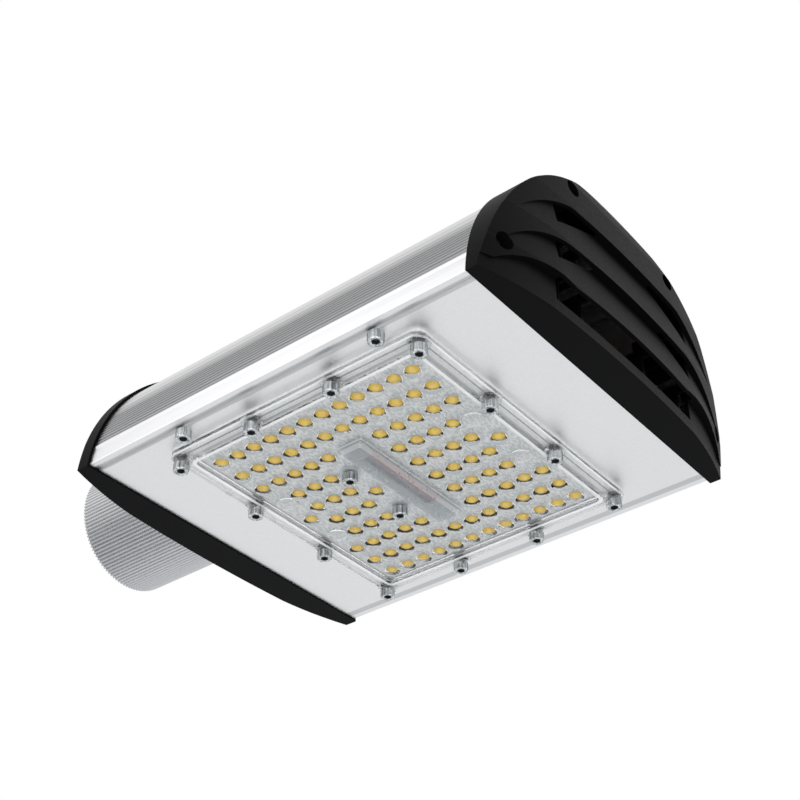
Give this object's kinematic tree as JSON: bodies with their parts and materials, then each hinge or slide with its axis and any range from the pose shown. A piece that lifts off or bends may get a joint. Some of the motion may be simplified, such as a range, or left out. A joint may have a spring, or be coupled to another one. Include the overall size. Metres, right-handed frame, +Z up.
{
  "type": "led street light head",
  "caption": "Street light head with an arched ribbed aluminium housing, dark louvred end caps, a clear LED lens plate below and a ribbed socket that slips over a pole end.",
  "frame": {"origin": "centre of the pole socket's mouth, on the socket's axis", "axes": "+X from the pole along the head to the louvred end cap, +Y across the head, +Z up, away from the light's face"},
  "size_m": [0.3648, 0.2226, 0.1151],
  "materials": {
    "anodised_aluminium": "satin, fine extrusion lines along the length",
    "plate_aluminium": "satin",
    "tube_aluminium": "bright drawn, ribbed",
    "white_board": "matt white lacquer",
    "led_ceramic": "matt",
    "led_phosphor": "matt yellow",
    "clear_lens": "clear, polished",
    "grey_gasket": "matt",
    "bright_screw": "bright, turned",
    "black_moulding": "semi-matt moulding",
    "gland_plastic": "satin",
    "driver_metal": "satin",
    "driver_plastic": "matt",
    "potting_resin": "matt",
    "terminal_plastic": "satin",
    "terminal_brass": "bright",
    "brown_lead": "satin",
    "blue_lead": "satin",
    "green_lead": "satin",
    "red_lead": "satin",
    "black_lead": "satin",
    "white_connector": "satin"
  },
  "bodies": {
    "root": {"housing_profile": "anodised_aluminium", "base_plate": "anodised_aluminium", "led_board": "white_board", "led_packages": "led_ceramic", "led_phosphors": "led_phosphor", "lens_cover": "clear_lens", "lens_gasket": "grey_gasket", "module_screws": "bright_screw", "centre_screws": "bright_screw", "plate_screws": "bright_screw", "front_cap": "black_moulding", "rear_cap": "black_moulding", "front_cap_screws": "bright_screw", "rear_cap_screws": "bright_screw", "rear_end_plate": "plate_aluminium", "spigot_tube": "tube_aluminium", "spigot_screws": "bright_screw", "pole_set_screws": "bright_screw", "cable_gland": "gland_plastic", "gland_nut": "gland_plastic", "driver_case": "driver_metal", "driver_end_rear": "driver_plastic", "driver_end_front": "driver_plastic", "driver_potting": "potting_resin", "driver_screws": "bright_screw", "terminal_block": "terminal_plastic", "terminal_screws": "terminal_brass", "terminal_fixings": "bright_screw", "lead_live": "brown_lead", "lead_neutral": "blue_lead", "lead_earth": "green_lead", "lead_connector": "white_connector", "lead_red": "red_lead", "lead_black": "black_lead"}
  },
  "joints": []
}
